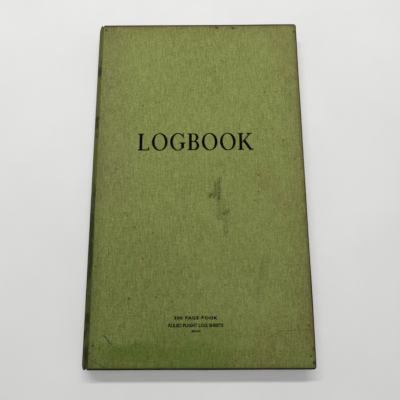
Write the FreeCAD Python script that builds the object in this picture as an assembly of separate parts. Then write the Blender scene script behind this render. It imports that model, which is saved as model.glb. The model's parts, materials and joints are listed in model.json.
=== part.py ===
import FreeCAD, Part
import math
import os

os.makedirs("parts", exist_ok=True)
V = FreeCAD.Vector

# Closed book, mm: X spine to fore edge, Y tail to head, Z up from the back cover
WIDTH = 218.0
HEIGHT = 355.6
THICK = 21.0

# Thickness of each material
CLOTH = 0.35
BOARD = 2.1
ENDPAPER = 0.15
LEAF = 0.10
SUPER = 0.20
LINER = 0.20
INLAY = 0.60
THREAD = 0.30
GAP = 0.05

# Case: boards, turned-in cloth, joint groove
TURN_IN = 15.0
SQUARE = 3.2
CORNER = 3.0
EDGE = 0.3
HINGE_IN = 5.7
HINGE_DOWN = 0.40
GUTTER = 1.45
BOARD_CLEAR = 0.15
SHOULDER_IN = 1.25
SHOULDER_DOWN = 0.47
FLAP = 25.0
INLAY_MORE = 3.4

# Text block
SECTIONS = 15
FREE_LEAVES = 3
LEAF_IN = 0.6
STATIONS = 8
STATION_END = 18.0
STRAND = 0.8
BACK_SHORT = 0.5

# Lines of the closed book
X_OUT = -WIDTH / 2
X_FORE = WIDTH / 2
Y_END = HEIGHT / 2
Z_MID = THICK / 2
X_HINGE = X_OUT + HINGE_IN
Z_HINGE = THICK - HINGE_DOWN
X_BOARD = X_HINGE + GUTTER + BOARD_CLEAR
X_PAGE = X_FORE - SQUARE
Y_PAGE = Y_END - SQUARE

# Round of the spine, through the outermost line and both shoulders
SAG = HINGE_IN - SHOULDER_IN
RISE = Z_MID - HINGE_DOWN - SHOULDER_DOWN
R_SPINE = (SAG**2 + RISE**2) / (2 * SAG)
X_ARC = X_OUT + R_SPINE
R_INLAY = R_SPINE - CLOTH
R_LINER = R_INLAY - INLAY
R_SUPER = R_LINER - LINER
R_THREAD = R_SUPER - SUPER
R_BLOCK = R_THREAD - THREAD

# Levels of the front half; the back half is its mirror
Z_BOARD = THICK - CLOTH - BOARD
Z_CASE = Z_BOARD - CLOTH
Z_PASTE = Z_CASE - ENDPAPER
Z_FLY = Z_PASTE - GAP
Z_LEAVES = Z_FLY - ENDPAPER - GAP
Z_TOP = Z_LEAVES - FREE_LEAVES * (LEAF + GAP)
Z_BOTTOM = THICK - Z_LEAVES
SECTION = (Z_TOP - Z_BOTTOM) / SECTIONS
A_BLOCK = math.degrees(math.asin((Z_TOP - Z_MID) / R_BLOCK))
A_INLAY = A_BLOCK + INLAY_MORE
A_CLOTH = math.degrees(math.atan2(RISE, R_SPINE - SAG))


def box(x0, x1, y0, y1, z0, z1):
    return Part.makeBox(x1 - x0, y1 - y0, z1 - z0, V(x0, y0, z0))


def polar(centre, radius, angle):
    a = math.radians(angle)
    return V(centre[0] + radius * math.cos(a), 0, centre[1] + radius * math.sin(a))


def sector(centre, r_in, r_out, a0, a1, y0, y1):
    mid = (a0 + a1) / 2
    outer = Part.Arc(*[polar(centre, r_out, a) for a in (a0, mid, a1)]).toShape()
    inner = Part.Arc(*[polar(centre, r_in, a) for a in (a1, mid, a0)]).toShape()
    down = Part.makeLine(polar(centre, r_out, a1), polar(centre, r_in, a1))
    up = Part.makeLine(polar(centre, r_in, a0), polar(centre, r_out, a0))
    face = Part.Face(Part.Wire([outer, down, inner, up]))
    solid = face.extrude(V(0, y1 - y0, 0))
    solid.translate(V(0, y0, 0))
    return solid


def spine_sector(r_in, r_out, half, y0, y1):
    return sector((X_ARC, Z_MID), r_in, r_out, 180 - half, 180 + half, y0, y1)


def rod(x, z, radius, y0, y1):
    return Part.makeCylinder(radius, y1 - y0, V(x, y0, z), V(0, 1, 0))


def to_back(shape):
    return shape.mirror(V(0, 0, Z_MID), V(0, 0, 1))


def fore_corners(shape):
    picked = []
    for edge in shape.Edges:
        box_of = edge.BoundBox
        if box_of.ZLength > 0.5 and box_of.XMin > X_BOARD + 1:
            picked.append(edge)
    return picked


def slab(inset, z0, z1):
    # A board outline with its two fore corners eased
    plain = box(X_BOARD, X_FORE - inset, inset - Y_END, Y_END - inset, z0, z1)
    return plain.makeFillet(CORNER - inset, fore_corners(plain))


def board():
    return slab(CLOTH, Z_BOARD, THICK - CLOTH)


def window():
    # Where the turned-in cloth leaves the board bare
    edge = CLOTH + TURN_IN
    return box(X_BOARD - 1, X_FORE - edge, edge - Y_END, Y_END - edge, Z_PASTE - 1, Z_BOARD)


def outer_rim(shape):
    return [e for e in shape.Edges if e.BoundBox.ZMin > THICK - 0.01 and e.BoundBox.XMax > X_BOARD + 1]


def cover_cloth():
    wrap = slab(0, Z_CASE, THICK)
    wrap = wrap.makeFillet(EDGE, outer_rim(wrap))
    return wrap.cut(board()).cut(window())


def super_flap():
    edge = CLOTH + TURN_IN + 1
    return box(X_BOARD, X_BOARD + FLAP, edge - Y_END, Y_END - edge, Z_BOARD - SUPER, Z_BOARD)


def pastedown():
    # Paper that steps over the turned-in cloth and over the gauze flap
    edge = CLOTH + TURN_IN
    x1 = X_FORE - edge - ENDPAPER
    y1 = Y_END - edge - ENDPAPER
    step = X_BOARD + FLAP + ENDPAPER
    sheet = box(X_BOARD, X_PAGE, -Y_PAGE, Y_PAGE, Z_PASTE, Z_BOARD)
    sheet = sheet.cut(cover_cloth()).cut(super_flap())
    under_flap = box(X_BOARD - 1, step, -y1, y1, Z_PASTE - 1, Z_BOARD - SUPER - ENDPAPER)
    open_field = box(step, x1, -y1, y1, Z_PASTE - 1, Z_BOARD - ENDPAPER)
    return sheet.cut(under_flap).cut(open_field)


def leaf(top, thickness):
    return box(X_HINGE + LEAF_IN, X_PAGE, -Y_PAGE, Y_PAGE, top - thickness, top)


def fold_x(z):
    # Centre line of a section's rounded fold, kept inside the back of the block
    return X_ARC - math.sqrt((R_BLOCK - SECTION / 2) ** 2 - (z - Z_MID) ** 2)


def signature(index):
    top = Z_TOP - index * SECTION
    mid = top - SECTION / 2
    shift = fold_x(mid) - fold_x(Z_TOP - SECTION / 2)
    x0 = fold_x(mid)
    flat = box(x0, X_PAGE + shift, -Y_PAGE, Y_PAGE, top - SECTION, top)
    section = flat.fuse(rod(x0, mid, SECTION / 2, -Y_PAGE, Y_PAGE))
    if index == 0:
        # The folded edge of the free leaves stays sewn to the block
        x1 = X_ARC - math.sqrt(R_BLOCK**2 - (Z_LEAVES - Z_MID) ** 2)
        x2 = X_HINGE + LEAF_IN - GAP
        section = section.fuse(box(x1, x2, -Y_PAGE, Y_PAGE, Z_TOP - SECTION / 2, Z_LEAVES))
    return section.removeSplitter()


def strand(y0, y1, half, tilt):
    centre = 180 - tilt
    return sector((X_ARC, Z_MID), R_BLOCK, R_THREAD, centre - half, centre + half, y0, y1)


def sewing_thread():
    # Strands over the folds at each sewing station, joined by runs between the folds
    span = 2 * (Y_PAGE - STATION_END)
    ys = [STATION_END - Y_PAGE + span * k / (STATIONS - 1) for k in range(STATIONS)]
    strands = [strand(y - STRAND / 2, y + STRAND / 2, A_BLOCK - 1.0, 0) for y in ys]
    half = math.degrees(THREAD / 2 / R_BLOCK)
    for k in range(STATIONS - 1):
        seam = Z_TOP - (2 + 3 * (k % 4)) * SECTION
        tilt = math.degrees(math.asin((seam - Z_MID) / R_BLOCK))
        strands.append(strand(ys[k], ys[k + 1], half, tilt))
    return strands[0].multiFuse(strands[1:]).removeSplitter()


def gutter_start():
    # Angle, seen from the hinge axis, where the spine's outer round meets the groove
    dx = X_HINGE - X_ARC
    dz = Z_HINGE - Z_MID
    apart = math.hypot(dx, dz)
    along = (R_SPINE**2 - GUTTER**2 + apart**2) / (2 * apart)
    aside = math.sqrt(R_SPINE**2 - along**2)
    x = X_ARC + (along * dx - aside * dz) / apart
    z = Z_MID + (along * dz + aside * dx) / apart
    return math.degrees(math.atan2(z - Z_HINGE, x - X_HINGE)) % 360


def joint_cloth():
    return sector((X_HINGE, Z_HINGE), GUTTER - CLOTH, GUTTER, gutter_start(), 358, -Y_END, Y_END)


def spine_cloth():
    shell = spine_sector(R_SPINE - CLOTH, R_SPINE, A_CLOTH, -Y_END, Y_END)
    for z in (Z_HINGE, THICK - Z_HINGE):
        shell = shell.cut(rod(X_HINGE, z, GUTTER, -Y_END - 1, Y_END + 1))
    folds = []
    for y0, y1 in ((Y_END - CLOTH, Y_END), (-Y_END, CLOTH - Y_END)):
        folds.append(spine_sector(R_LINER - CLOTH, R_SPINE, A_INLAY, y0, y1))
    for y0, y1 in ((Y_END - TURN_IN, Y_END), (-Y_END, TURN_IN - Y_END)):
        folds.append(spine_sector(R_LINER - CLOTH, R_LINER, A_INLAY, y0, y1))
    return shell.multiFuse(folds).removeSplitter()


def spine_inlay():
    return spine_sector(R_LINER, R_INLAY, A_INLAY, CLOTH - Y_END, Y_END - CLOTH)


def lining(r_in, r_out):
    y1 = Y_END - TURN_IN - BACK_SHORT
    return spine_sector(r_in, r_out, A_BLOCK, -y1, y1)


def build():
    parts = {}
    parts["front_board"] = board()
    parts["front_cover_cloth"] = cover_cloth()
    parts["front_pastedown"] = pastedown()
    parts["front_super_flap"] = super_flap()
    parts["front_joint_cloth"] = joint_cloth()
    parts["front_flyleaf"] = leaf(Z_FLY, ENDPAPER)
    for name in list(parts):
        parts[name.replace("front", "back")] = to_back(parts[name])
    for k in range(FREE_LEAVES):
        parts[f"leaf_{k + 1}"] = leaf(Z_LEAVES - k * (LEAF + GAP), LEAF)
    for k in range(SECTIONS):
        parts[f"signature_{k + 1:02d}"] = signature(k)
    parts["sewing_thread"] = sewing_thread()
    parts["spine_super"] = lining(R_THREAD, R_SUPER)
    parts["spine_liner"] = lining(R_SUPER, R_LINER)
    parts["spine_inlay"] = spine_inlay()
    parts["spine_cloth"] = spine_cloth()
    return parts


for node, shape in build().items():
    shape.exportStep(f"parts/{node}.step")
    print(node, len(shape.Solids), shape.isValid(), round(shape.Volume, 2))
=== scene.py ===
import bpy
import bmesh
import json
import math
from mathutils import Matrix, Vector, noise


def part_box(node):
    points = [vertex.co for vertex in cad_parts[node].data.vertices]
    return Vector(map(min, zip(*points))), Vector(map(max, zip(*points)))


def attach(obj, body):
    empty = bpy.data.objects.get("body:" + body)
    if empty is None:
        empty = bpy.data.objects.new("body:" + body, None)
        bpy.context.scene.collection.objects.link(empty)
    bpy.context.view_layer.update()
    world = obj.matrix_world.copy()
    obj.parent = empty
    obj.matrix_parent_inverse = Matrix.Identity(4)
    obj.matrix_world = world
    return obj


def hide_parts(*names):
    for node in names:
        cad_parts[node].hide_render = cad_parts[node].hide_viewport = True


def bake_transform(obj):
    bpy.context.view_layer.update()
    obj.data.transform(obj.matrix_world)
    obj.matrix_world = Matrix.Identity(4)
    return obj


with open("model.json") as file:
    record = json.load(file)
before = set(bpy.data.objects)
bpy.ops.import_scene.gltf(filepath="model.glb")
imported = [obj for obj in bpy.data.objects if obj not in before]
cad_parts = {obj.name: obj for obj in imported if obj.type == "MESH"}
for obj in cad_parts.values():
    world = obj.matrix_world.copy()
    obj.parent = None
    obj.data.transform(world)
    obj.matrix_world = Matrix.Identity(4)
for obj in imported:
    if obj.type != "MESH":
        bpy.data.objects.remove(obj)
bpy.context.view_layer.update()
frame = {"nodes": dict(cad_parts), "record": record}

MM = 0.001

# ---------------------------------------------------------------- sizes taken from the frame
COVER_LO, COVER_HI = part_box("front_cover_cloth")
BOARD_LO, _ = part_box("front_board")
_, LEAF_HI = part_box("leaf_1")
SPINE_LO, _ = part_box("spine_cloth")
JOINTS = {j["name"]: j for j in frame["record"]["behaviour"]["joints"]}
THICK = COVER_HI[2]
X_HINGE, _, Z_HINGE = JOINTS["front_cover_hinge"]["pos_m"]
X_BOARD = BOARD_LO[0]
X_FORE = COVER_HI[0]
Y_END = COVER_HI[1]
X_PAGE = LEAF_HI[0]
Y_PAGE = LEAF_HI[1]
X_OUT = SPINE_LO[0]
Z_MID = THICK / 2
CLOTH = 0.35 * MM
TURN_IN = 15.0 * MM
GROOVE = 1.45 * MM
SHOULDER_X = X_HINGE - 1.25 * MM
SHOULDER_Z = Z_HINGE - 0.47 * MM
SAG = SHOULDER_X - X_OUT
RISE = SHOULDER_Z - Z_MID
R_SPINE = (SAG**2 + RISE**2) / (2 * SAG)
X_ARC = X_OUT + R_SPINE
Z_CASE = COVER_LO[2]

# ---------------------------------------------------------------- sizes of the modelled detail
CORNER = 3.0 * MM
FOLD = 0.75 * MM
BOARD_ROLL = 0.42 * MM
GROOVE_STARTS = 350  # degrees round the hinge line
GROOVE_ENDS = 204
WANDER = 0.35 * MM
WORN_MARGIN = 20 * MM
CUTS_ALONG = 18
CUTS_ACROSS = 10
TINY = 0.01 * MM
END_LEAN = 4.0 * MM
FIELD_SLOPE = 0.7 * MM
PAPER = 0.15 * MM


# ---------------------------------------------------------------- modelling helpers
def clear_selection():
    if bpy.context.object and bpy.context.object.mode != "OBJECT":
        bpy.ops.object.mode_set(mode="OBJECT")
    bpy.ops.object.select_all(action="DESELECT")


def pick(obj):
    clear_selection()
    obj.select_set(True)
    bpy.context.view_layer.objects.active = obj


def edit(obj):
    pick(obj)
    bpy.ops.object.mode_set(mode="EDIT")
    bpy.ops.mesh.select_mode(type="VERT")
    bpy.ops.mesh.select_all(action="DESELECT")


def leave():
    bpy.ops.object.mode_set(mode="OBJECT")


def choose(obj, test, level="VERT"):
    """Selects what passes the test, which gets a vertex's place, an edge, or a face's middle and normal."""
    bpy.ops.mesh.select_mode(type=level)
    bpy.ops.mesh.select_all(action="DESELECT")
    mesh = bmesh.from_edit_mesh(obj.data)
    mesh.normal_update()
    group = {"VERT": mesh.verts, "EDGE": mesh.edges, "FACE": mesh.faces}[level]
    for item in group:
        if level == "VERT":
            hit = test(item.co)
        elif level == "EDGE":
            hit = test(item)
        else:
            hit = test(item.calc_center_median(), item.normal)
        if hit:
            item.select_set(True)
    mesh.select_flush_mode()
    bmesh.update_edit_mesh(obj.data)


def cut(obj, point, normal, test=None, drop_outer=False):
    """Cuts every face (or the tested ones) along a plane."""
    if test:
        choose(obj, test, "FACE")
    else:
        bpy.ops.mesh.select_all(action="SELECT")
    bpy.ops.mesh.bisect(plane_co=point, plane_no=normal, clear_outer=drop_outer)


def cut_x(obj, x, **options):
    cut(obj, (x, 0, 0), (1, 0, 0), **options)


def cut_y(obj, y, **options):
    cut(obj, (0, y, 0), (0, 1, 0), **options)


def even_cuts(cutter, obj, start, stop, strips):
    """Divides a sheet into even strips between two places."""
    for k in range(1, strips):
        cutter(obj, start + (stop - start) * k / strips)


def start_box(name, low, high):
    clear_selection()
    bpy.ops.mesh.primitive_cube_add(size=1)
    obj = bpy.context.object
    obj.name = obj.data.name = name
    obj.scale = [b - a for a, b in zip(low, high)]
    obj.location = [(a + b) / 2 for a, b in zip(low, high)]
    bpy.ops.object.transform_apply(location=True, rotation=True, scale=True)
    return obj


def start_sheet(name, x0, x1, y0, y1, z, face_up):
    clear_selection()
    bpy.ops.mesh.primitive_plane_add(size=1)
    obj = bpy.context.object
    obj.name = obj.data.name = name
    obj.scale = (x1 - x0, y1 - y0, 1)
    obj.location = ((x0 + x1) / 2, (y0 + y1) / 2, z)
    bpy.ops.object.transform_apply(location=True, rotation=True, scale=True)
    if not face_up:
        flip(obj)
    return obj


def flip(obj):
    edit(obj)
    bpy.ops.mesh.select_all(action="SELECT")
    bpy.ops.mesh.flip_normals()
    leave()


def modify(obj, kind, **settings):
    pick(obj)
    modifier = obj.modifiers.new(kind.title(), kind)
    for key, value in settings.items():
        setattr(modifier, key, value)
    bpy.ops.object.modifier_apply(modifier=modifier.name)


def thicken(obj, amount):
    """Gives a sheet its thickness, on the side away from its normals."""
    modify(obj, "SOLIDIFY", thickness=amount, offset=-1, use_even_offset=True)


def smooth(obj, degrees):
    pick(obj)
    bpy.ops.object.shade_smooth_by_angle(angle=math.radians(degrees))


def turn_to_back(obj):
    """Makes a piece that was modelled for the front into its mirror image for the back."""
    edit(obj)
    bpy.ops.mesh.select_all(action="SELECT")
    bpy.ops.transform.resize(value=(1, 1, -1), center_override=(0, 0, Z_MID))
    bpy.ops.mesh.flip_normals()
    leave()


def remember_rest(obj):
    """Keeps each point's rest place, so a pattern follows cloth and paper when they bend."""
    rest = obj.data.attributes.new("rest", "FLOAT_VECTOR", "POINT")
    for vertex, kept in zip(obj.data.vertices, rest.data):
        kept.vector = vertex.co


def reshape(obj, rule):
    for vertex in obj.data.vertices:
        vertex.co = rule(vertex.co.copy())
    obj.data.update()


# ---------------------------------------------------------------- node helpers
def add(tree, kind, inputs=None, **settings):
    """Adds a node with its settings, and sets or links its inputs."""
    made = tree.nodes.new(kind)
    for key, value in settings.items():
        setattr(made, key, value)
    for key, value in (inputs or {}).items():
        plug(tree, made.inputs[key], value)
    return made


def plug(tree, socket, value):
    """Links a socket to an output, or gives it a plain value."""
    if isinstance(value, bpy.types.NodeSocket):
        tree.links.new(value, socket)
    else:
        socket.default_value = value


def calc(tree, operation, *values, clamp=False):
    made = add(tree, "ShaderNodeMath", dict(enumerate(values)), operation=operation, use_clamp=clamp)
    return made.outputs[0]


def times(tree, first, second):
    return calc(tree, "MULTIPLY", first, second)


def strongest(tree, masks):
    """The largest of several masks, place by place."""
    total = masks[0]
    for mask in masks[1:]:
        total = calc(tree, "MAXIMUM", total, mask)
    return total


def vector(tree, operation, *values):
    made = add(tree, "ShaderNodeVectorMath", operation=operation)
    for index, value in enumerate(values):
        plug(tree, made.inputs[3 if operation == "SCALE" and index else index], value)
    return made.outputs["Value" if operation in ("DISTANCE", "DOT_PRODUCT") else "Vector"]


def split(tree, value):
    """The x, y and z of a vector."""
    return list(add(tree, "ShaderNodeSeparateXYZ", {0: value}).outputs)


def scaled(tree, coords, size):
    return add(tree, "ShaderNodeMapping", {"Vector": coords, "Scale": size}).outputs["Vector"]


def grain(tree, coords, scale, detail=3.0, rough=0.55):
    """Noise with `scale` cells to the metre."""
    made = add(tree, "ShaderNodeTexNoise", {"Vector": coords, "Scale": scale, "Detail": detail,
                                            "Roughness": rough})
    return made.outputs["Fac"]


def grain_along(tree, coords, cells, detail, rough):
    """Noise with its own number of cells to the metre along x, y and z."""
    return grain(tree, scaled(tree, coords, cells), 1.0, detail, rough)


def spread(tree, value, low, high, out_low=0.0, out_high=1.0, smooth_step=True):
    """Turns a value between low and high into one between out_low and out_high, and stops there."""
    kind = "SMOOTHSTEP" if smooth_step else "LINEAR"
    made = add(tree, "ShaderNodeMapRange", {"Value": value, "From Min": low, "From Max": high,
                                            "To Min": out_low, "To Max": out_high}, interpolation_type=kind)
    return made.outputs["Result"]


def blend_values(tree, share, first, second):
    step = calc(tree, "SUBTRACT", second, first)
    return calc(tree, "MULTIPLY_ADD", step, share, first)


def blend_colour(tree, share, first, second, mode="MIX"):
    made = add(tree, "ShaderNodeMix", data_type="RGBA", blend_type=mode)
    plug(tree, made.inputs["Factor"], share)
    plug(tree, made.inputs["A"], first)
    plug(tree, made.inputs["B"], second)
    return made.outputs["Result"]


def paint(tree, share, colour, tint):
    """Covers a colour with a tint."""
    return blend_colour(tree, share, colour, rgba(tint))


def stain(tree, share, colour, tint):
    """Darkens a colour by a tint, so that the pattern under it still shows."""
    return blend_colour(tree, share, colour, rgba(tint), "MULTIPLY")


def ramp(tree, value, stops):
    """A colour ramp through two or more (place, tint) stops."""
    made = add(tree, "ShaderNodeValToRGB", {"Fac": value})
    line = made.color_ramp
    line.elements[0].position, line.elements[0].color = stops[0][0], rgba(stops[0][1])
    line.elements[1].position, line.elements[1].color = stops[-1][0], rgba(stops[-1][1])
    for place, tint in stops[1:-1]:
        line.elements.new(place).color = rgba(tint)
    return made.outputs["Color"]


def rgba(tint):
    return (*tint, 1.0)


def new_group(name, inputs, outputs):
    """A shader node group with its named sockets: (tree, what it is given, what it puts out)."""
    tree = bpy.data.node_groups.new(name, "ShaderNodeTree")
    for title, kind, default in inputs:
        socket = tree.interface.new_socket(title, in_out="INPUT", socket_type=kind)
        if default is not None:
            socket.default_value = default
    for title, kind in outputs:
        tree.interface.new_socket(title, in_out="OUTPUT", socket_type=kind)
    given = tree.nodes.new("NodeGroupInput")
    result = tree.nodes.new("NodeGroupOutput")
    return tree, given.outputs, result.inputs


def use_group(tree, group, inputs):
    made = tree.nodes.new("ShaderNodeGroup")
    made.node_tree = group
    for key, value in inputs.items():
        plug(tree, made.inputs[key], value)
    return made.outputs


def start_material(name, rest=False):
    """A new material, patterned on its object's own place or, where the piece bends, on its rest place."""
    made = bpy.data.materials.new(name)
    made.use_nodes = True
    tree = made.node_tree
    shader = tree.nodes["Principled BSDF"]
    if rest:
        coords = add(tree, "ShaderNodeAttribute", attribute_name="rest").outputs["Vector"]
    else:
        coords = add(tree, "ShaderNodeTexCoord").outputs["Object"]
    return made, tree, shader, coords


def finish_surface(tree, shader, colour, roughness, height, strength, depth):
    """Connects colour, roughness and a bump of the given strength and depth."""
    plug(tree, shader.inputs["Base Color"], colour)
    plug(tree, shader.inputs["Roughness"], roughness)
    bump = add(tree, "ShaderNodeBump", {"Strength": strength, "Distance": depth, "Height": height})
    plug(tree, shader.inputs["Normal"], bump.outputs["Normal"])


# ---------------------------------------------------------------- patterns that several finishes share
FLOAT = "NodeSocketFloat"
VECTOR = "NodeSocketVector"


def weave_group():
    """Plain weave: over-and-under threads, slubs along both directions, and a soft cloudiness."""
    tree, given, result = new_group(
        "Plain weave",
        [("Coords", VECTOR, None), ("Threads per metre", FLOAT, 1700.0)],
        [("Height", FLOAT), ("Slub", FLOAT), ("Cloud", FLOAT)],
    )
    coords = given["Coords"]
    wobble = grain(tree, coords, 260.0, 2.0)
    sideways = add(tree, "ShaderNodeCombineXYZ", {0: wobble, 1: wobble}).outputs[0]
    shaken = vector(tree, "ADD", coords, vector(tree, "SCALE", sideways, 0.5 * MM))
    x, y, _ = split(tree, shaken)
    u = times(tree, x, given["Threads per metre"])
    v = times(tree, y, given["Threads per metre"])
    across = calc(tree, "ABSOLUTE", calc(tree, "SINE", times(tree, u, math.pi)))
    along = calc(tree, "ABSOLUTE", calc(tree, "SINE", times(tree, v, math.pi)))
    odd = calc(tree, "PINGPONG", calc(tree, "ADD", calc(tree, "FLOOR", u), calc(tree, "FLOOR", v)), 1.0)
    even = calc(tree, "SUBTRACT", 1.0, odd)
    over = times(tree, across, calc(tree, "MULTIPLY_ADD", times(tree, along, odd), 0.5, 0.5))
    under = times(tree, along, calc(tree, "MULTIPLY_ADD", times(tree, across, even), 0.5, 0.5))
    plug(tree, result["Height"], calc(tree, "MAXIMUM", over, under))
    warp = grain_along(tree, coords, (900, 95, 200), 2.0, 0.6)
    weft = grain_along(tree, coords, (115, 900, 200), 2.0, 0.6)
    nubs = grain_along(tree, coords, (760, 640, 700), 2.0, 0.75)
    both = calc(tree, "MULTIPLY_ADD", warp, 0.33, times(tree, weft, 0.18))
    plug(tree, result["Slub"], calc(tree, "MULTIPLY_ADD", nubs, 0.49, both))
    plug(tree, result["Cloud"], grain(tree, coords, 20.0, 2.0, 0.45))
    return tree


def specks_group():
    """Foxing: small scattered rusty dots of uneven size."""
    tree, given, result = new_group(
        "Foxing", [("Coords", VECTOR, None), ("Density", FLOAT, 45.0)], [("Mask", FLOAT)]
    )
    cells = add(tree, "ShaderNodeTexVoronoi", {"Vector": given["Coords"], "Scale": given["Density"],
                                               "Randomness": 1.0})
    chance = add(tree, "ShaderNodeSeparateColor", {0: cells.outputs["Color"]}).outputs[0]
    radius = spread(tree, chance, 0.45, 1.0, 0.0, 0.034, smooth_step=False)
    inside = calc(tree, "SUBTRACT", radius, cells.outputs["Distance"])
    plug(tree, result["Mask"], spread(tree, inside, 0.0, 0.012))
    return tree


def wear_group():
    """A ragged band along a sheet's outer edges, for handling dirt, and a thin line on the fold."""
    tree, given, result = new_group(
        "Edge wear",
        [("Coords", VECTOR, None), ("Width", FLOAT, 3 * MM), ("Half width", FLOAT, X_FORE),
         ("Half height", FLOAT, Y_END)],
        [("Mask", FLOAT), ("Edge", FLOAT)],
    )
    x, y, _ = split(tree, given["Coords"])
    from_fore = calc(tree, "SUBTRACT", given["Half width"], x)
    from_end = calc(tree, "SUBTRACT", given["Half height"], calc(tree, "ABSOLUTE", y))
    ragged = grain(tree, given["Coords"], 90.0, 5.0, 0.65)
    limit = times(tree, given["Width"], times(tree, ragged, 2.0))
    near = calc(tree, "DIVIDE", calc(tree, "MINIMUM", from_fore, from_end), limit)
    plug(tree, result["Mask"], calc(tree, "SUBTRACT", 1.0, near, clamp=True))
    fold = calc(tree, "MINIMUM", from_fore, calc(tree, "SUBTRACT", from_end, 0.6 * MM))
    plug(tree, result["Edge"], spread(tree, fold, 0.5 * MM, 1.8 * MM, 1.0, 0.0))
    return tree


def paper_fibre_group():
    """Paper: fine fibres, and a slow change of tone."""
    tree, given, result = new_group(
        "Paper fibre", [("Coords", VECTOR, None)], [("Fibre", FLOAT), ("Tone", FLOAT)]
    )
    plug(tree, result["Fibre"], grain_along(tree, given["Coords"], (900, 500, 900), 4.0, 0.6))
    plug(tree, result["Tone"], grain(tree, given["Coords"], 16.0, 4.0, 0.55))
    return tree


WEAVE = weave_group()
SPECKS = specks_group()
WEAR = wear_group()
FIBRE = paper_fibre_group()


# ---------------------------------------------------------------- book cloth
# Spots on the front cover, in mm from its middle: x, y, radius
RUST_SPOTS = [
    (89, 43, 0.8), (99, 23, 0.7), (62, 6, 0.8), (61, -11, 0.7), (57, -20, 0.6),
    (-4, -46, 0.6), (-7, -94, 0.6), (26, -102, 0.6), (-72, -32, 0.7), (-44, -52, 0.6),
    (-53, -77, 0.7), (-98, -84, 0.7), (-20, -72, 0.5), (-87, -94, 0.6), (-53, -148, 0.6),
    (-12, -147, 0.5), (-25, -117, 0.6), (35, -170, 0.6), (72, 97, 0.7),
]
DARK_SPOTS = [
    (-62, -46, 0.5), (-65, -114, 0.7), (-39, -113, 0.6), (-57, 82, 0.5), (-50, 129, 0.4),
    (22, 174, 1.0), (40, 173, 1.1), (-100, 172, 0.9), (107, -160, 0.8), (104, -139, 0.6),
    (-97, -156, 0.7), (-91, -159, 0.5), (-100, -163, 0.6), (-94, -168, 0.4), (104, -166, 0.7),
    (107, -172, 1.0), (106, 168, 0.9), (-43, 135, 0.3), (95, -120, 0.5),
]
# Soft strokes, in mm: start, end, half width
BROWN_PATCHES = [((91, 162), (89, 128), 19), ((66, -154), (104, -130), 34), ((66, 6), (87, -24), 17)]
HINGE_SIDE_PATCH = ((-95, 166), (-87, -10), 34)
HEAD_DIRT = ((16, 178), (40, 178), 6)
GREEN_SMEAR = ((64, -80), (58, -108), 7)
SCRATCHES = [((-87.5, -147.5), (-79.5, -155.5), 1.0), ((-100, -167.5), (-84, -176.5), 0.7)]
CREASE = [((62.5, -151.5), (78.5, -144), 0.8), ((78.5, -144), (107.5, -142.5), 0.8)]
# Bare dark places down the spine's upper side
SPINE_SCUFFS = [
    ((-107.6, -106.0, 17.0), (-107.6, -119.0, 17.0), 3.2),
    ((-107.2, -147.0, 17.5), (-107.2, -153.0, 17.5), 4.0),
    ((-108.4, -160.0, 14.5), (-107.8, -178.0, 16.0), 5.0),
    ((-106.0, -177.5, 19.5), (-101.5, -178.2, 21.0), 2.6),
    ((-108.4, 178.0, 15.0), (-108.2, 170.0, 15.0), 4.0),
    ((-108.0, 112.0, 16.0), (-108.0, 66.0, 16.0), 2.0),
    ((-108.0, -22.0, 16.0), (-108.0, -76.0, 16.0), 2.2),
]
# The dark rub below the title has a strength for each stroke as well
SMUDGE = [
    ((22, 1.5), (21.5, -19), 3.8, 0.80), ((18.5, -1.5), (18.5, -13.5), 2.8, 0.70),
    ((13.5, -14.5), (18, -13), 5.6, 0.90), ((21, -19), (22.5, -33), 4.6, 0.52),
    ((26.5, -33.5), (29, -31), 4.2, 0.90), ((26.5, -20), (26.5, -35.5), 3.0, 0.42),
    ((28, -42), (27.5, -54), 4.4, 0.46), ((21, -36.5), (27.5, -38.5), 4.0, 0.48),
]


def dots(tree, flat, spots):
    """One mask for a list of spots, each solid in the middle and soft at its rim."""
    masks = []
    for x, y, radius in spots:
        away = vector(tree, "DISTANCE", flat, (x * MM, y * MM, 0.0))
        masks.append(spread(tree, away, radius * 0.80 * MM, radius * 2.15 * MM, 1.0, 0.0))
    return strongest(tree, masks)


def stroke(tree, flat, start, end, half):
    """Mask of a soft line between two places, in mm. Places on the flat need no height."""
    a = Vector(start).to_3d() * MM
    b = Vector(end).to_3d() * MM
    run = b - a
    from_start = vector(tree, "SUBTRACT", flat, tuple(a))
    reach = vector(tree, "DOT_PRODUCT", from_start, tuple(run))
    share = calc(tree, "DIVIDE", reach, run.length_squared, clamp=True)
    nearest = vector(tree, "SCALE", tuple(run), share)
    away = vector(tree, "DISTANCE", from_start, nearest)
    return spread(tree, away, 0.0, half * MM, 1.0, 0.0)


def strokes(tree, flat, places):
    return strongest(tree, [stroke(tree, flat, *place) for place in places])


def sage_threads(tree, weave):
    """Sage green, dark in the hollows of the weave and pale on its crests, faded a little in patches."""
    threads = calc(tree, "MULTIPLY_ADD", weave["Height"], 0.14, times(tree, weave["Slub"], 0.86))
    hollow = (0.082, 0.100, 0.020)
    middle = (0.185, 0.211, 0.059)
    crest = (0.305, 0.340, 0.114)
    colour = ramp(tree, threads, [(0.33, hollow), (0.50, middle), (0.67, crest)])
    return paint(tree, spread(tree, weave["Cloud"], 0.30, 0.70, -0.08, 0.15), colour, (0.245, 0.280, 0.088))


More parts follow.
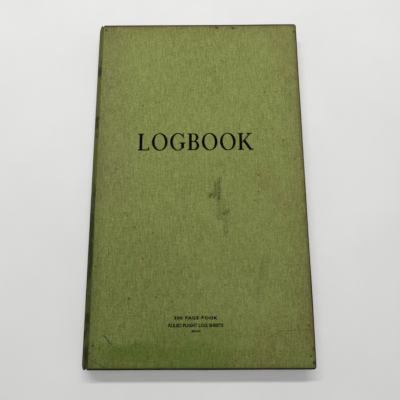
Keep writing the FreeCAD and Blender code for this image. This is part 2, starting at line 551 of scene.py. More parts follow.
def tail_darkening_and_soil(tree, coords, colour):
    """Darkening that deepens towards the tail, brown handled margins, rubbed edges, and dirt on the folds."""
    _, y, _ = split(tree, coords)
    # Darker towards the tail, in patches
    low = spread(tree, y, 60 * MM, -172 * MM, smooth_step=False)
    patchy = spread(tree, grain(tree, coords, 14.0, 5.0, 0.6), 0.25, 0.75, 0.55, 1.0)
    colour = stain(tree, times(tree, times(tree, low, patchy), 0.42), colour, (0.464, 0.474, 0.380))
    handled = use_group(tree, WEAR, {"Coords": coords, "Width": 22 * MM})
    grime = times(tree, handled["Mask"], spread(tree, y, -176 * MM, -145 * MM, 0.14, 0.45))
    colour = stain(tree, grime, colour, (0.765, 0.530, 0.690))
    rubbed = use_group(tree, WEAR, {"Coords": coords, "Width": 5.2 * MM})
    colour = paint(tree, times(tree, rubbed["Mask"], 0.70), colour, (0.078, 0.060, 0.020))
    dirty = times(tree, rubbed["Edge"], spread(tree, y, 170 * MM, -170 * MM, 0.78, 0.97))
    return paint(tree, dirty, colour, (0.016, 0.013, 0.003))


def spine_painted_shade(tree, coords, colour):
    """Painted shade on the spine and in the groove, lighter towards the head and with dark blots, which creeps
    onto the board towards the tail, and more painted shade on the board beside the groove.
    """
    x, y, _ = split(tree, coords)
    # Painted shade on the board beside the groove, stronger towards the tail
    inner = times(tree, spread(tree, x, X_BOARD, X_BOARD + 13 * MM, 1.0, 0.0),
                  spread(tree, y, 130 * MM, 30 * MM, 0.10, 0.34))
    colour = stain(tree, inner, colour, (0.330, 0.335, 0.260))
    # The painted shade's own tone: streaky and near black, lighter towards the head, with dark blots that
    # gather towards the tail
    streaks = grain_along(tree, coords, (330, 60, 330), 3.0, 0.65)
    shade_tone = blend_colour(tree, streaks, rgba((0.026, 0.030, 0.006)), rgba((0.090, 0.098, 0.024)))
    shade_tone = paint(tree, spread(tree, y, -60 * MM, 100 * MM, 0.0, 0.60), shade_tone, (0.130, 0.142, 0.034))
    lower = spread(tree, y, 80 * MM, -170 * MM, 0.0, 0.14)
    blots = calc(tree, "ADD", grain_along(tree, coords, (60, 38, 60), 4.0, 0.65), lower)
    shade_tone = paint(tree, spread(tree, blots, 0.54, 0.66, 0.0, 0.88), shade_tone, (0.010, 0.010, 0.005))
    # The painted shade covers the spine and the groove, and reaches further onto the board towards the tail
    creep = calc(tree, "SUBTRACT", x, spread(tree, y, 20 * MM, -140 * MM, 0.0, 1.3 * MM))
    shade_share = spread(tree, creep, X_BOARD - 1.2 * MM, X_BOARD + 0.4 * MM, 0.86, 0.0)
    return blend_colour(tree, shade_share, colour, shade_tone)


def scuffed_spine(tree, coords, drift, ripped, colour):
    """Bare dark places down the spine, with torn edges."""
    strayed = vector(tree, "ADD", coords, vector(tree, "MULTIPLY", drift, (6 * MM, 28 * MM, 12 * MM)))
    torn = times(tree, strokes(tree, strayed, SPINE_SCUFFS),
                 spread(tree, ripped, 0.30, 0.65, 0.20, 1.7, smooth_step=False))
    return paint(tree, spread(tree, torn, 0.18, 0.75, 0.0, 0.94), colour, (0.011, 0.010, 0.006))


def brown_patches(tree, coords, flat, colour):
    """Brown patches at the fore edge and a fainter one beside the hinge."""
    patchy = spread(tree, grain(tree, coords, 30.0, 4.0, 0.65), 0.30, 0.70, 0.25, 1.0)
    brown = times(tree, strokes(tree, flat, BROWN_PATCHES), patchy)
    colour = stain(tree, times(tree, brown, 0.50), colour, (0.930, 0.690, 0.800))
    patchy = spread(tree, grain(tree, coords, 24.0, 4.0, 0.6), 0.25, 0.75, 0.55, 1.25)
    faint = times(tree, stroke(tree, flat, *HINGE_SIDE_PATCH), patchy)
    return stain(tree, faint, colour, (0.930, 0.865, 0.985))


def spots_and_rubs(tree, coords, flat, colour):
    """Rust spots, dark spots, the dark rub below the title, dirt at the head and a greenish smear."""
    colour = paint(tree, times(tree, dots(tree, flat, RUST_SPOTS), 0.90), colour, (0.148, 0.060, 0.012))
    colour = paint(tree, times(tree, dots(tree, flat, DARK_SPOTS), 0.80), colour, (0.026, 0.023, 0.007))
    rubs = [times(tree, stroke(tree, flat, *place), strength) for *place, strength in SMUDGE]
    dry = spread(tree, grain_along(tree, coords, (620, 480, 1.0), 3.0, 0.6), 0.36, 0.58, 0.15, 1.0)
    colour = stain(tree, times(tree, strongest(tree, rubs), dry), colour, (0.190, 0.200, 0.105))
    grit = spread(tree, grain(tree, scaled(tree, coords, (1.6, 0.7, 1.0)), 260.0, 4.0, 0.7), 0.40, 0.60)
    head = times(tree, stroke(tree, flat, *HEAD_DIRT), grit)
    colour = paint(tree, times(tree, head, 0.80), colour, (0.030, 0.030, 0.012))
    smear = times(tree, stroke(tree, flat, *GREEN_SMEAR), spread(tree, grit, 0.0, 1.0, 0.45, 1.0))
    return paint(tree, times(tree, smear, 0.34), colour, (0.070, 0.085, 0.020))


def scratches_and_crease(tree, flat, ripped, colour):
    """A shaded place towards the tail, two scratches, and a broken crease across the corner."""
    away = vector(tree, "DISTANCE", flat, (-78 * MM, -115 * MM, 0.0))
    shade = spread(tree, away, 30 * MM, 105 * MM, 1.0, 0.0)
    colour = stain(tree, times(tree, shade, 0.20), colour, (0.330, 0.390, 0.230))
    broken = spread(tree, ripped, 0.35, 0.62, 0.25, 0.75)
    crease = times(tree, strokes(tree, flat, CREASE), broken)
    lines = strongest(tree, [strokes(tree, flat, SCRATCHES), crease])
    return paint(tree, times(tree, lines, 0.90), colour, (0.045, 0.045, 0.014))


def damp_tail(tree, coords, colour):
    """A damp stain along the tail, up to a ragged tide line, with a fainter wash above it."""
    x, y, _ = split(tree, coords)
    ragged = spread(tree, grain(tree, coords, 55.0, 4.0, 0.6), 0.25, 0.75, -7 * MM, 7 * MM, smooth_step=False)
    sunk = calc(tree, "ADD", ragged, spread(tree, x, -10 * MM, 30 * MM, 0.0, 9 * MM))
    damp = spread(tree, calc(tree, "ADD", y, sunk), -151.5 * MM, -157 * MM)
    damp = times(tree, damp, spread(tree, calc(tree, "ADD", x, ragged), 14 * MM, 46 * MM, 1.0, 0.08))
    damp = times(tree, damp, spread(tree, x, -96 * MM, -80 * MM, 0.35, 1.0))
    damp = times(tree, damp, spread(tree, y, -164 * MM, -175 * MM, 1.0, 0.70))
    across = times(tree, spread(tree, x, -65 * MM, -35 * MM), spread(tree, x, 20 * MM, 55 * MM, 1.0, 0.25))
    wash = times(tree, spread(tree, y, -128 * MM, -150 * MM, 0.0, 0.55), across)
    wash = times(tree, wash, calc(tree, "SUBTRACT", 1.0, damp))
    colour = stain(tree, wash, colour, (0.640, 0.690, 0.460))
    return stain(tree, times(tree, damp, 0.90), colour, (0.600, 0.720, 0.430))


def cloth_material(name, marked):
    """Sage green book cloth, faded, soiled and darker towards the tail, with painted shade on the spine and
    beside the groove. The marked one carries the front cover's own stains.
    """
    made, tree, shader, coords = start_material(name, rest=True)
    weave = use_group(tree, WEAVE, {"Coords": coords})
    ripped = grain_along(tree, coords, (420, 170, 420), 5.0, 0.7)
    swirl = add(tree, "ShaderNodeTexNoise", {"Vector": coords, "Scale": 170.0, "Detail": 5.0,
                                             "Roughness": 0.7})
    drift = vector(tree, "SUBTRACT", swirl.outputs["Color"], (0.5, 0.5, 0.5))
    colour = sage_threads(tree, weave)
    colour = tail_darkening_and_soil(tree, coords, colour)
    colour = spine_painted_shade(tree, coords, colour)
    colour = scuffed_spine(tree, coords, drift, ripped, colour)
    foxing = use_group(tree, SPECKS, {"Coords": coords, "Density": 42.0})["Mask"]
    colour = paint(tree, times(tree, foxing, 0.45), colour, (0.110, 0.050, 0.018))
    if marked:
        flat = vector(tree, "MULTIPLY", coords, (1.0, 1.0, 0.0))
        flat = vector(tree, "ADD", flat, vector(tree, "MULTIPLY", drift, (3 * MM, 3 * MM, 0.0)))
        colour = brown_patches(tree, coords, flat, colour)
        colour = spots_and_rubs(tree, coords, flat, colour)
        colour = scratches_and_crease(tree, flat, ripped, colour)
        colour = damp_tail(tree, coords, colour)
    roughness = spread(tree, weave["Slub"], 0.3, 0.7, 0.92, 0.78, smooth_step=False)
    lift = calc(tree, "MULTIPLY_ADD", weave["Slub"], 0.7, times(tree, weave["Height"], 0.3))
    finish_surface(tree, shader, colour, roughness, lift, 0.55, 0.3 * MM)
    shader.inputs["Specular IOR Level"].default_value = 0.10 if marked else 0.05
    shader.inputs["Sheen Weight"].default_value = 0.03 if marked else 0.0
    shader.inputs["Sheen Roughness"].default_value = 0.5
    return made


# ---------------------------------------------------------------- paper, board, card, gauze and thread
LINE_PITCH = 4.2 * MM
HEAD_MARGIN = 34.5 * MM
MARGIN_RULES = (-78.0, -76.6, 62.0, 84.0)
BLUE_LINE = (0.23, 0.36, 0.52)
RED_LINE = (0.58, 0.20, 0.18)


def ruling(tree, coords, flat, colour):
    """Feint blue lines below a head margin, and red margin rules, drawn only on a leaf's face."""
    x, y, _ = split(tree, coords)
    from_line = calc(tree, "PINGPONG", calc(tree, "ADD", y, 1.0), LINE_PITCH)
    line = spread(tree, from_line, 0.10 * MM, 0.26 * MM, 1.0, 0.0)
    below = spread(tree, y, Y_PAGE - HEAD_MARGIN, Y_PAGE - HEAD_MARGIN + 0.5 * MM, 1.0, 0.0)
    rules = []
    for place in MARGIN_RULES:
        away = calc(tree, "ABSOLUTE", calc(tree, "SUBTRACT", x, place * MM))
        rules.append(spread(tree, away, 0.10 * MM, 0.28 * MM, 1.0, 0.0))
    for mask, tint in ((times(tree, line, below), BLUE_LINE), (strongest(tree, rules), RED_LINE)):
        colour = paint(tree, times(tree, times(tree, mask, flat), 0.55), colour, tint)
    return colour


def paper_material(name, rest, dark, light, ruled=False, stacked=False):
    """Aged paper: fibre, yellowed margins, foxing, and where wanted ruling or a stack of leaf edges with
    painted shade between the leaves.
    """
    made, tree, shader, coords = start_material(name, rest)
    fibre = use_group(tree, FIBRE, {"Coords": coords})
    tone = calc(tree, "MULTIPLY_ADD", fibre["Fibre"], 0.35, times(tree, fibre["Tone"], 0.65))
    colour = ramp(tree, tone, [(0.3, dark), (0.7, light)])
    age = use_group(tree, WEAR, {"Coords": coords, "Width": 16 * MM, "Half width": X_PAGE,
                                 "Half height": Y_PAGE})
    colour = paint(tree, times(tree, age["Mask"], 0.45), colour, [c * 0.72 for c in dark])
    foxing = use_group(tree, SPECKS, {"Coords": coords, "Density": 60.0})["Mask"]
    colour = paint(tree, times(tree, foxing, 0.30), colour, (0.42, 0.26, 0.12))
    height = fibre["Fibre"]
    flat = 1.0
    if stacked:
        _, _, up = split(tree, add(tree, "ShaderNodeTexCoord").outputs["Normal"])
        flat = spread(tree, calc(tree, "ABSOLUTE", up), 0.80, 0.95)
    if ruled:
        colour = ruling(tree, coords, flat, colour)
    if stacked:
        edge = calc(tree, "SUBTRACT", 1.0, flat)
        leaves = grain_along(tree, coords, (14, 14, 9500), 2.0, 0.7)
        # Painted shade in the gaps between the leaves on the stack's edges
        shade_between_leaves = calc(tree, "MULTIPLY_ADD", spread(tree, leaves, 0.40, 0.60), -0.55, 0.60)
        colour = paint(tree, times(tree, edge, shade_between_leaves), colour, (0.36, 0.28, 0.17))
        height = blend_values(tree, edge, fibre["Fibre"], leaves)
    roughness = spread(tree, fibre["Fibre"], 0.3, 0.7, 0.92, 0.80, smooth_step=False)
    finish_surface(tree, shader, colour, roughness, height, 0.35, 0.12 * MM)
    shader.inputs["Specular IOR Level"].default_value = 0.25
    return made


def plain_material(name, dark, light, cells):
    """Board, card, gauze or thread: two tones of one fibre pattern with a matching bump."""
    made, tree, shader, coords = start_material(name)
    pattern = grain_along(tree, coords, cells, 5.0, 0.65)
    colour = ramp(tree, pattern, [(0.32, dark), (0.68, light)])
    finish_surface(tree, shader, colour, spread(tree, pattern, 0.3, 0.7, 0.90, 0.80), pattern, 0.5, 0.2 * MM)
    return made


def ink_material():
    """Black stamping ink, worn thin in places so that the cloth's colour comes through."""
    made, tree, shader, coords = start_material("Black stamping ink")
    weave = grain(tree, coords, 1500.0, 2.0)
    patches = calc(tree, "MULTIPLY_ADD", weave, 0.6, times(tree, grain(tree, coords, 60.0, 3.0), 0.4))
    worn = times(tree, spread(tree, patches, 0.56, 0.70), 0.20)
    colour = blend_colour(tree, worn, rgba((0.0020, 0.0020, 0.0015)), rgba((0.030, 0.032, 0.014)))
    finish_surface(tree, shader, colour, spread(tree, weave, 0.3, 0.7, 0.80, 0.95), weave, 0.4, 0.1 * MM)
    shader.inputs["Specular IOR Level"].default_value = 0.02
    return made


PAGE_DARK = (0.68, 0.64, 0.52)
PAGE_LIGHT = (0.82, 0.79, 0.68)
CLOTH_FRONT = cloth_material("Sage book cloth, front", marked=True)
CLOTH_PLAIN = cloth_material("Sage book cloth, spine and back", marked=False)
CARD = plain_material("Manila spine card", (0.38, 0.27, 0.13), (0.55, 0.42, 0.24), (600, 300, 600))
GREYBOARD = plain_material("Grey binder's board", (0.16, 0.14, 0.11), (0.34, 0.31, 0.26), (700, 700, 900))
KRAFT = plain_material("Brown liner paper", (0.28, 0.17, 0.08), (0.44, 0.29, 0.16), (500, 900, 500))
GAUZE = plain_material("Starched gauze", (0.46, 0.42, 0.32), (0.72, 0.68, 0.56), (1500, 1500, 1500))
LINEN = plain_material("Linen sewing thread", (0.52, 0.47, 0.36), (0.80, 0.76, 0.66), (1800, 4000, 4000))
ENDPAPER = paper_material("Cream endpaper", True, (0.60, 0.53, 0.38), (0.76, 0.70, 0.55))
RULED = paper_material("Ruled page", True, PAGE_DARK, PAGE_LIGHT, ruled=True)
SECTION = paper_material("Sewn section", False, PAGE_DARK, PAGE_LIGHT, ruled=True, stacked=True)
INK = ink_material()


# ---------------------------------------------------------------- case
def cover_cloth(side):
    """The cloth over one board: outer face, rounded edges, turn-ins, and its strip down into the groove."""
    obj = start_box(f"{side}_case_cloth", (X_BOARD, -Y_END, Z_CASE), (X_FORE, Y_END, THICK))
    edit(obj)
    open_underside(obj)
    round_folds(obj)
    run_into_groove(obj)
    even_cuts(cut_y, obj, -Y_END, Y_END, CUTS_ALONG)
    even_cuts(cut_x, obj, X_BOARD, X_FORE, CUTS_ACROSS)
    leave()
    reshape(obj, worn_edge)
    thicken(obj, CLOTH)
    if side == "back":
        turn_to_back(obj)
    smooth(obj, 40)
    obj.data.materials.append(CLOTH_FRONT if side == "front" else CLOTH_PLAIN)
    remember_rest(obj)
    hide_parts(f"{side}_cover_cloth", f"{side}_joint_cloth")
    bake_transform(obj)


def open_underside(obj):
    """Leaves the spine side open, and keeps only the turn-ins underneath."""
    choose(obj, lambda c, n: n.x < -0.9, "FACE")
    bpy.ops.mesh.delete(type="FACE")
    inner = X_FORE - CLOTH - TURN_IN
    side_y = Y_END - CLOTH - TURN_IN
    under = lambda c, n: n.z < -0.9
    cut_x(obj, inner, test=under)
    cut_y(obj, side_y, test=under)
    cut_y(obj, -side_y, test=under)
    choose(obj, lambda c, n: n.z < -0.9 and c.x < inner and abs(c.y) < side_y, "FACE")
    bpy.ops.mesh.delete(type="FACE")


def round_folds(obj):
    """Rounds every folded edge, the two fore corners most."""
    def corner(edge):
        a, b = (v.co for v in edge.verts)
        return abs(a.z - b.z) > MM and min(a.x, b.x) > X_FORE - MM

    def folded(edge):
        if len(edge.link_faces) < 2:
            return False
        return edge.link_faces[0].normal.angle(edge.link_faces[1].normal) > math.radians(60)

    choose(obj, corner, "EDGE")
    bpy.ops.mesh.bevel(offset=CORNER, segments=7, affect="EDGES")
    choose(obj, folded, "EDGE")
    bpy.ops.mesh.bevel(offset=FOLD, segments=4, affect="EDGES")


def run_into_groove(obj):
    """Runs the cloth from the board's spine edge down into the groove and up to the shoulder."""
    def spine_edge(edge):
        a, b = (v.co for v in edge.verts)
        on_top = min(a.z, b.z) > THICK - TINY
        return len(edge.link_faces) == 1 and on_top and max(a.x, b.x) < X_BOARD + TINY

    choose(obj, spine_edge, "EDGE")
    path = []
    for k in range(1, 5):
        turn = math.radians(90 * k / 4)
        path.append((X_BOARD - BOARD_ROLL * math.sin(turn), THICK - BOARD_ROLL * (1 - math.cos(turn))))
    radius = GROOVE - CLOTH
    for k in range(15):
        turn = math.radians(GROOVE_STARTS - (GROOVE_STARTS - GROOVE_ENDS) * k / 14)
        path.append((X_HINGE + radius * math.cos(turn), Z_HINGE + radius * math.sin(turn)))
    x, z = X_BOARD, THICK
    for px, pz in path:
        bpy.ops.mesh.extrude_region_move(TRANSFORM_OT_translate={"value": (px - x, 0, pz - z)})
        x, z = px, pz


def worn_edge(c):
    """Board edges that are not quite straight: a slow wander of a few tenths of a millimetre."""
    near = max(0.0, 1 - (X_FORE - c.x) / WORN_MARGIN)
    c.x += noise.noise(Vector((c.x * 9, c.y * 14, 3.1))) * WANDER * near
    ends = max(0.0, 1 - (Y_END - abs(c.y)) / WORN_MARGIN)
    c.y += noise.noise(Vector((c.x * 14, c.y * 9, 7.7))) * WANDER * ends
    return c


def arc_shell(name, r_out, half, y_end, lean, thickness, turned_in=None):
    """A sheet rounded over the spine. Its ends lean in, and may be turned in to a second radius."""
    clear_selection()
    bpy.ops.mesh.primitive_cylinder_add(vertices=180, radius=r_out, depth=2 * y_end, end_fill_type="NOTHING",
                                        location=(X_ARC, 0, Z_MID), rotation=(math.pi / 2, 0, 0))
    obj = bpy.context.object
    obj.name = obj.data.name = name
    bpy.ops.object.transform_apply(location=True, rotation=True, scale=True)
    edit(obj)
    cut_x(obj, X_ARC - r_out * math.cos(half), drop_outer=True)
    if turned_in:
        # Fold each end over and run it back along the inside
        for sign in (1, -1):
            choose(obj, lambda c: c.y * sign > y_end - TINY)
            bpy.ops.mesh.select_mode(type="EDGE")
            ratio = turned_in / r_out
            bpy.ops.mesh.extrude_region_move(TRANSFORM_OT_translate={"value": (0, 0, 0)})
            bpy.ops.transform.resize(value=(ratio, 1, ratio), center_override=(X_ARC, 0, Z_MID))
            bpy.ops.mesh.extrude_region_move(TRANSFORM_OT_translate={"value": (0, -sign * TURN_IN, 0)})
    for inset in (0.4, 0.9, 1.6, 2.4, 3.4, 6.0):
        for sign in (1, -1):
            cut_y(obj, sign * (y_end - inset * MM))
    even_cuts(cut_y, obj, -Y_END, Y_END, CUTS_ALONG)
    leave()

    def lean_in(c):
        over = (abs(c.y) - (y_end - END_LEAN)) / END_LEAN
        if over > 0:
            share = (SHOULDER_X - c.x) / (SHOULDER_X - X_OUT)
            c.x += lean * over * over * max(0.0, share)
        return c

    reshape(obj, lean_in)
    thicken(obj, thickness)
    smooth(obj, 50)
    return obj


def spine_case():
    """The spine's cloth, turned in at head and tail, and the card inside it."""
    half = math.asin((SHOULDER_Z - Z_MID) / R_SPINE) - math.radians(0.4)
    cloth = arc_shell("spine_case_cloth", R_SPINE, half, Y_END, 1.3 * MM, CLOTH, turned_in=R_SPINE - 1.3 * MM)
    cloth.data.materials.append(CLOTH_PLAIN)
    remember_rest(cloth)
    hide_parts("spine_cloth")
    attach(cloth, "text_block")
    inlay = arc_shell("spine_inlay_card", R_SPINE - CLOTH, math.radians(42), Y_END - 1.2 * MM, 0.7 * MM,
                      0.6 * MM)
    inlay.data.materials.append(CARD)
    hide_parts("spine_inlay")
    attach(inlay, "text_block")


def bending_sheet(name, node, x_stop, z, thickness, material, face_up, steps=()):
    """A sheet hinged at the spine, which bends between the block and its body. Steps are fields set higher."""
    x_root = X_HINGE - 1.0 * MM
    obj = start_sheet(name, x_root, X_PAGE, -Y_PAGE, Y_PAGE, z, face_up)
    edit(obj)
    even_cuts(cut_x, obj, x_root, x_stop, 16)
    for x0, x1, y1, rise in steps:
        for x in (x0, x0 - FIELD_SLOPE, x1, x1 + FIELD_SLOPE):
            cut_x(obj, x)
        for y in (y1, y1 + FIELD_SLOPE, -y1, -y1 - FIELD_SLOPE):
            cut_y(obj, y)
        near = 0.05 * MM
        choose(obj, lambda c: x0 - near < c.x < x1 + near and abs(c.y) < y1 + near)
        bpy.ops.transform.translate(value=(0, 0, rise))
    even_cuts(cut_y, obj, -Y_PAGE, Y_PAGE, 12)
    even_cuts(cut_x, obj, x_stop, X_PAGE, 8)
    leave()
    thicken(obj, thickness)
    if name.startswith("back"):
        turn_to_back(obj)
    smooth(obj, 30)
    obj.data.materials.append(material)
    remember_rest(obj)
    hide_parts(node)
    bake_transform(obj)


def endpapers_and_leaves():
    """Pastedowns, which step over the gauze flap and the turn-ins, flyleaves, and the free leaves."""
    field_x = X_FORE - CLOTH - TURN_IN - FIELD_SLOPE
    field_y = Y_END - CLOTH - TURN_IN - FIELD_SLOPE
    flap_x = X_BOARD + 25 * MM
    steps = [(X_BOARD + 0.8 * MM, field_x, field_y, 0.15 * MM), (flap_x, field_x, field_y, 0.2 * MM)]
    free_from = X_HINGE + 0.6 * MM
    paste_lo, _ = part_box("front_pastedown")
    _, fly_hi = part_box("front_flyleaf")
    for side in ("front", "back"):
        bending_sheet(f"{side}_paste_sheet", f"{side}_pastedown", X_BOARD, paste_lo[2],
                      PAPER, ENDPAPER, False, steps)
        bending_sheet(f"{side}_fly_sheet", f"{side}_flyleaf", free_from, fly_hi[2],
                      PAPER, ENDPAPER, True)
    for k in (1, 2, 3):
        _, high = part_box(f"leaf_{k}")
        bending_sheet(f"page_{k}", f"leaf_{k}", free_from, high[2],
                      0.1 * MM, RULED, True)


def dress_cad_nodes():
    """Gives a finish to the inner pieces that keep their own shape."""
    finish = {"spine_super": GAUZE, "spine_liner": KRAFT, "sewing_thread": LINEN}
    for side in ("front", "back"):
        finish[f"{side}_board"] = GREYBOARD
        finish[f"{side}_super_flap"] = GAUZE
    for name, node in frame["nodes"].items():
        if name.startswith("signature"):
            finish[name] = SECTION
        if name in finish:
            node.data.materials.clear()
            node.data.materials.append(finish[name])


# ---------------------------------------------------------------- stamped lettering
# Sizes inside a capital are shares of its height
SERIF = 0.055
THIN = 0.070
STEM_LEFT = 0.10
STEM_RIGHT = STEM_LEFT + 0.165


def ring(cx, cy, rx, ry, start, end, count):
    """Places round an ellipse, from one angle in degrees to another."""
    turns = [math.radians(start + (end - start) * k / count) for k in range(count + 1)]
    return [(cx + rx * math.cos(turn), cy + ry * math.sin(turn)) for turn in turns]


def stem_sides(top, bottom):
    """An upright's outline, with serifs where asked: its left side going up, its right side coming down."""
    out = 0.085
    left = []
    right = []
    a, b = STEM_LEFT, STEM_RIGHT
    if bottom:
        left += [(a - out, 0.0), (a - out, SERIF), (a - 0.03, SERIF + 0.012), (a, 0.105)]
        right += [(b, 0.105), (b + 0.03, SERIF + 0.012), (b + out, SERIF), (b + out, 0.0)]
    if top:
        left += [(a, 0.895), (a - 0.03, 1 - SERIF - 0.012), (a - out, 1 - SERIF), (a - out, 1.0)]
        right = [(b + out, 1.0), (b + out, 1 - SERIF), (b + 0.03, 1 - SERIF - 0.012), (b, 0.895)] + right
    return left, right


def glyph_l():
    left, right = stem_sides(True, False)
    left = [(0.015, 0.0), (0.015, SERIF), (0.07, SERIF + 0.012), (STEM_LEFT, 0.105)] + left
    foot = [(STEM_RIGHT, 0.105), (0.31, THIN), (0.50, THIN), (0.575, 0.095), (0.615, 0.225), (0.668, 0.225),
            (0.645, 0.0)]
    return 0.70, [left + right + foot]


def glyph_o():
    outer = ring(0.48, 0.5, 0.445, 0.525, 0, 360, 48)[:-1]
    inner = [(0.48 + x - 0.05 * y, 0.5 + y) for x, y in ring(0, 0, 0.282, 0.462, 0, 360, 48)[:-1]]
    return 0.96, [outer, inner]


def glyph_g():
    outer = ring(0.48, 0.5, 0.445, 0.525, 52, 270, 30)
    outer += ring(0.48, 0.5, 0.40, 0.525, 272, 308, 6)
    inner = ring(0.48, 0.5, 0.275, 0.462, 300, 66, 30)
    bar = [(0.830, 0.13), (0.830, 0.365), (0.865, 0.400), (0.905, 0.412), (0.905, 0.468), (0.560, 0.468),
           (0.560, 0.412), (0.620, 0.400), (0.655, 0.365), (0.655, 0.125)]
    tip = [(0.660, 0.892), (0.725, 0.83), (0.765, 0.715), (0.815, 0.715), (0.810, 1.015), (0.770, 1.015),
           (0.757, 0.965)]
    return 0.94, [outer + bar + inner + tip]


def glyph_b():
    left, _ = stem_sides(True, True)
    upper = [(0.40, 1.0)] + ring(0.40, 0.765, 0.235, 0.235, 78, -62, 14)
    lower = ring(0.415, 0.275, 0.265, 0.275, 62, -90, 16) + [(0.015, 0.0)]
    hole_up = [(STEM_RIGHT, 0.935), (0.37, 0.935)] + ring(0.375, 0.745, 0.105, 0.190, 84, -86, 12)
    hole_up += [(STEM_RIGHT, 0.555)]
    hole_low = [(STEM_RIGHT, 0.488), (0.38, 0.488)] + ring(0.385, 0.277, 0.135, 0.211, 84, -84, 12)
    hole_low += [(STEM_RIGHT, 0.066)]
    return 0.72, [left + upper + lower, hole_up, hole_low]


def glyph_k():
    left, right = stem_sides(True, True)
    arm = [(STEM_RIGHT, 0.500), (0.580, 0.880), (0.570, 0.915), (0.500, 1 - SERIF), (0.500, 1.0),
           (0.815, 1.0), (0.815, 1 - SERIF), (0.725, 0.925), (0.680, 0.885), (0.445, 0.600)]
    leg = [(0.760, 0.125), (0.810, 0.080), (0.880, SERIF), (0.880, 0.0), (0.655, 0.0), (0.325, 0.490),
           (STEM_RIGHT, 0.435)]
    return 0.87, [left + right[:4] + arm + leg + right[4:]]


GLYPHS = {"L": glyph_l, "O": glyph_o, "G": glyph_g, "B": glyph_b, "K": glyph_k}
INK_LIFT = 0.02 * MM


def flat_curve_to_mesh(name, loops, height, x, y):
    """Fills closed outlines as a flat shape, makes it a mesh, then puts it in its place."""
    curve = bpy.data.curves.new(name, "CURVE")
    curve.dimensions = "2D"
    curve.fill_mode = "BOTH"
    for loop in loops:
        line = curve.splines.new("POLY")
        line.points.add(len(loop) - 1)
        for point, (px, py) in zip(line.points, loop):
            point.co = (px, py, 0, 1)
        line.use_cyclic_u = True
    obj = bpy.data.objects.new(name, curve)
    bpy.context.scene.collection.objects.link(obj)
    pick(obj)
    bpy.ops.object.convert(target="MESH")
    obj = bpy.context.object
    reshape(obj, lambda c: Vector((x + c.x * height, y + c.y * height, THICK + INK_LIFT)))
    return obj


def finish_ink(obj):
    """Turns a flat letter or line into a thin film of ink on the front cover."""
    edit(obj)
    bpy.ops.mesh.select_all(action="SELECT")
    bpy.ops.mesh.dissolve_limited(angle_limit=math.radians(0.5))
    bpy.ops.mesh.quads_convert_to_tris()
    bpy.ops.mesh.normals_make_consistent(inside=False)
    leave()
    if obj.data.polygons[0].normal.z < 0:
        flip(obj)
    thicken(obj, 0.04 * MM)
    obj.data.materials.append(INK)
    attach(obj, "front_cover")


def title(word, centre, y, width, height):
    """The stamped title, letter by letter, spaced to fill its width."""
    shapes = [GLYPHS[letter]() for letter in word]
    natural = sum(w for w, _ in shapes) * height
    gap = (width - natural) / (len(word) - 1)
    x = centre - width / 2
    for index, (w, loops) in enumerate(shapes):
        obj = flat_curve_to_mesh(f"title_letter_{index + 1}", loops, height, x, y)
        finish_ink(obj)
        x += w * height + gap


def small_line(name, words, centre, y, width, height, spacing, heavier):
    """A small stamped line in plain capitals, scaled to its width and height."""
    text = bpy.data.curves.new(name, "FONT")
    text.body = words
    text.space_character = spacing
    text.offset = heavier
    obj = bpy.data.objects.new(name, text)
    bpy.context.scene.collection.objects.link(obj)
    pick(obj)
    bpy.ops.object.convert(target="MESH")
    obj = bpy.context.object
    xs = [v.co.x for v in obj.data.vertices]
    ys = [v.co.y for v in obj.data.vertices]
    sx = width / (max(xs) - min(xs))
    sy = height / (max(ys) - min(ys))
    x0 = centre - width / 2
    reshape(obj, lambda c: Vector((x0 + (c.x - min(xs)) * sx, y + (c.y - min(ys)) * sy, THICK + INK_LIFT)))
    finish_ink(obj)


# The small lines: words, centre, foot, width and height in mm, then letter spacing and added weight
SMALL_LINES = [
    ("300 PAGE BOOK", -1.6, -133.5, 41.0, 3.1, 1.25, 0.060),
    ("RULED FLIGHT LOG SHEETS", -1.7, -140.3, 51.4, 3.3, 1.04, 0.050),
    ("SEWN", -1.7, -144.9, 8.4, 2.0, 1.0, 0.050),
]


def lettering():
    title("LOGBOOK", -1.8 * MM, 32.8 * MM, 118.8 * MM, 18.4 * MM)
    for number, (line, centre, foot, width, height, spacing, heavier) in enumerate(SMALL_LINES, 1):
        small_line(f"small_line_{number}", line, centre * MM, foot * MM, width * MM, height * MM,
                   spacing, heavier)


# ---------------------------------------------------------------- build
cover_cloth("front")
cover_cloth("back")
spine_case()
endpapers_and_leaves()
dress_cad_nodes()
lettering()


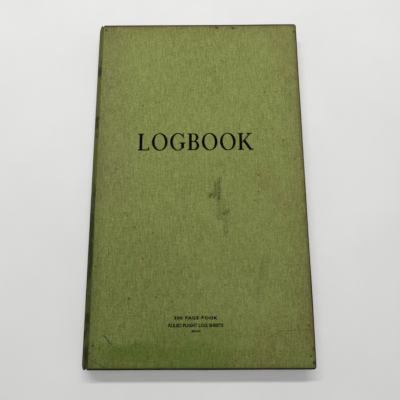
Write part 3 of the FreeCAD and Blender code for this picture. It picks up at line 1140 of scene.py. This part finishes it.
# ---------------------------------------------------------------- stage, light and camera
def floor():
    clear_selection()
    bpy.ops.mesh.primitive_plane_add(size=6, location=(0, 0, -0.1 * MM))
    obj = bpy.context.object
    obj.name = "table_top"
    made, tree, shader, coords = start_material("Pale table")
    tone = grain(tree, coords, 9.0, 5.0, 0.6)
    colour = ramp(tree, tone, [(0.3, (0.70, 0.70, 0.695)), (0.7, (0.74, 0.74, 0.735))])
    plug(tree, shader.inputs["Base Color"], colour)
    shader.inputs["Roughness"].default_value = 0.75
    obj.data.materials.append(made)


def lights():
    """A narrow strip beyond the head, a soft panel overhead, and a pale room."""
    key = bpy.data.lights.new("Key", "AREA")
    key.shape = "RECTANGLE"
    key.size = 1.05
    key.size_y = 0.045
    key.energy = 8.8
    key.color = (1.0, 0.995, 0.985)
    lamp = bpy.data.objects.new("Key", key)
    bpy.context.scene.collection.objects.link(lamp)
    aim = Vector((0.0, 0.0, 0.0))
    lamp.location = Vector((-0.06, 0.585, 1.00))
    lamp.rotation_euler = (aim - lamp.location).to_track_quat("-Z", "Y").to_euler()
    ceiling = bpy.data.lights.new("Ceiling", "AREA")
    ceiling.shape = "SQUARE"
    ceiling.size = 1.3
    ceiling.energy = 13.0
    panel = bpy.data.objects.new("Ceiling", ceiling)
    bpy.context.scene.collection.objects.link(panel)
    panel.location = Vector((0.0, 0.0, 2.2))
    world = bpy.data.worlds.new("Room")
    bpy.context.scene.world = world
    world.use_nodes = True
    background = world.node_tree.nodes["Background"].inputs
    background["Color"].default_value = (0.98, 0.99, 1.0, 1.0)
    background["Strength"].default_value = 0.26


def camera():
    data = bpy.data.cameras.new("Camera")
    data.lens = 32.85
    data.sensor_width = 36.0
    data.clip_start = 0.01
    obj = bpy.data.objects.new("Camera", data)
    bpy.context.scene.collection.objects.link(obj)
    obj.location = (4.7 * MM, -89.6 * MM, 378.3 * MM)
    obj.rotation_euler = [math.radians(a) for a in (11.14, 0.365, -0.265)]
    bpy.context.scene.camera = obj


floor()
lights()
camera()
bpy.context.scene.view_settings.view_transform = "Standard"
